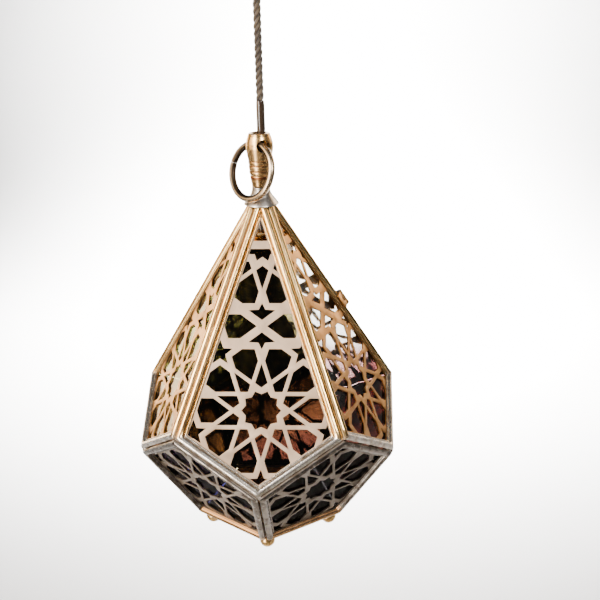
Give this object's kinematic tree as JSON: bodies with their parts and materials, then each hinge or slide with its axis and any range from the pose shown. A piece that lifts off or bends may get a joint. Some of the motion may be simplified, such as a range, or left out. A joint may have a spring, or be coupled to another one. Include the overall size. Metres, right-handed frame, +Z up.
{
  "type": "pendant lantern",
  "caption": "Pierced brass pendant lantern with coloured glass, a hinged door, ball feet and a hanging ring, on a short flex with a ceiling canopy.",
  "frame": {"origin": "centre of the ceiling bar's top face, on the line of the flex, where the lantern meets the ceiling", "axes": "+Z up towards the ceiling, -Y towards the front kite panel, +X to its right"},
  "size_m": [0.1927, 0.2015, 0.4327],
  "materials": {
    "pierced_sheet": "satin, aged",
    "rails": "polished",
    "brass_turned": "polished, aged",
    "base_sheet": "dull, copper coloured",
    "solder": "dull",
    "bright_steel": "plated",
    "glass_olive": "tinted",
    "glass_clear": "clear",
    "glass_moss": "tinted",
    "glass_straw": "tinted",
    "glass_black": "tinted",
    "glass_russet": "tinted",
    "glass_plum": "tinted",
    "glass_amber": "tinted",
    "glass_navy": "tinted",
    "holder_plastic": "moulded",
    "bulb_glass": "frosted",
    "cord_braid": "twisted",
    "sleeve": "glossy",
    "flex_rubber": "matt"
  },
  "bodies": {
    "frame": {"kite_1_sheet": "pierced_sheet", "kite_1_rails": "rails", "kite_1_glass": "glass_olive", "kite_2_sheet": "pierced_sheet", "kite_2_rails": "rails", "kite_2_glass": "glass_clear", "kite_4_sheet": "pierced_sheet", "kite_4_rails": "rails", "kite_4_glass": "glass_moss", "kite_5_sheet": "pierced_sheet", "kite_5_rails": "rails", "kite_5_glass": "glass_straw", "lower_1_sheet": "pierced_sheet", "lower_1_rails": "rails", "lower_1_glass": "glass_black", "lower_2_sheet": "pierced_sheet", "lower_2_rails": "rails", "lower_2_glass": "glass_russet", "lower_3_sheet": "pierced_sheet", "lower_3_rails": "rails", "lower_3_glass": "glass_plum", "lower_4_sheet": "pierced_sheet", "lower_4_rails": "rails", "lower_4_glass": "glass_amber", "lower_5_sheet": "pierced_sheet", "lower_5_rails": "rails", "lower_5_glass": "glass_navy", "base_plate": "base_sheet", "neck_cap": "solder", "threaded_tube": "solder", "ferrule": "brass_turned", "inner_washer": "brass_turned", "lock_nut": "brass_turned", "lampholder_cap": "brass_turned", "lampholder_body": "holder_plastic", "lamp_cord": "cord_braid", "cord_sleeve": "sleeve", "inner_flex": "flex_rubber", "hinge_leaf_fixed": "brass_turned", "hinge_pin": "bright_steel", "latch_rivet": "bright_steel", "ceiling_bar": "bright_steel", "canopy": "brass_turned", "canopy_stem": "bright_steel", "cord_grip": "brass_turned", "terminal_block": "holder_plastic", "foot_1": "brass_turned", "foot_2": "brass_turned", "foot_3": "brass_turned", "foot_4": "brass_turned", "foot_5": "brass_turned"},
    "door": {"door_sheet": "pierced_sheet", "door_rails": "rails", "door_glass": "glass_clear", "hinge_leaf_door": "brass_turned"},
    "latch": {"latch_button": "brass_turned"},
    "ring": {"hanging_ring": "brass_turned"},
    "bulb": {"bulb_cap": "bright_steel", "bulb_glass": "bulb_glass"}
  },
  "joints": [
    {"name": "door_hinge", "type": "hinge", "parent": "frame", "child": "door", "pos_m": [0.05645, 0.0172, -0.25521], "axis": [0.5041, 0.1638, -0.848], "range_deg": [0, 110]},
    {"name": "latch_turn", "type": "hinge", "parent": "frame", "child": "latch", "pos_m": [-0.00438, 0.05511, -0.2511], "axis": [0, -0.848, -0.53], "range_deg": [0, 90]},
    {"name": "ring_swing", "type": "hinge", "parent": "frame", "child": "ring", "pos_m": [-0.00374, -0.0043, -0.1346], "axis": [-0.7547, 0.6561, 0], "range_deg": [-2, 150]},
    {"name": "bulb_withdraw", "type": "slide", "parent": "frame", "child": "bulb", "axis": [0, 0, -1], "range_m": [0, 0.03]}
  ]
}
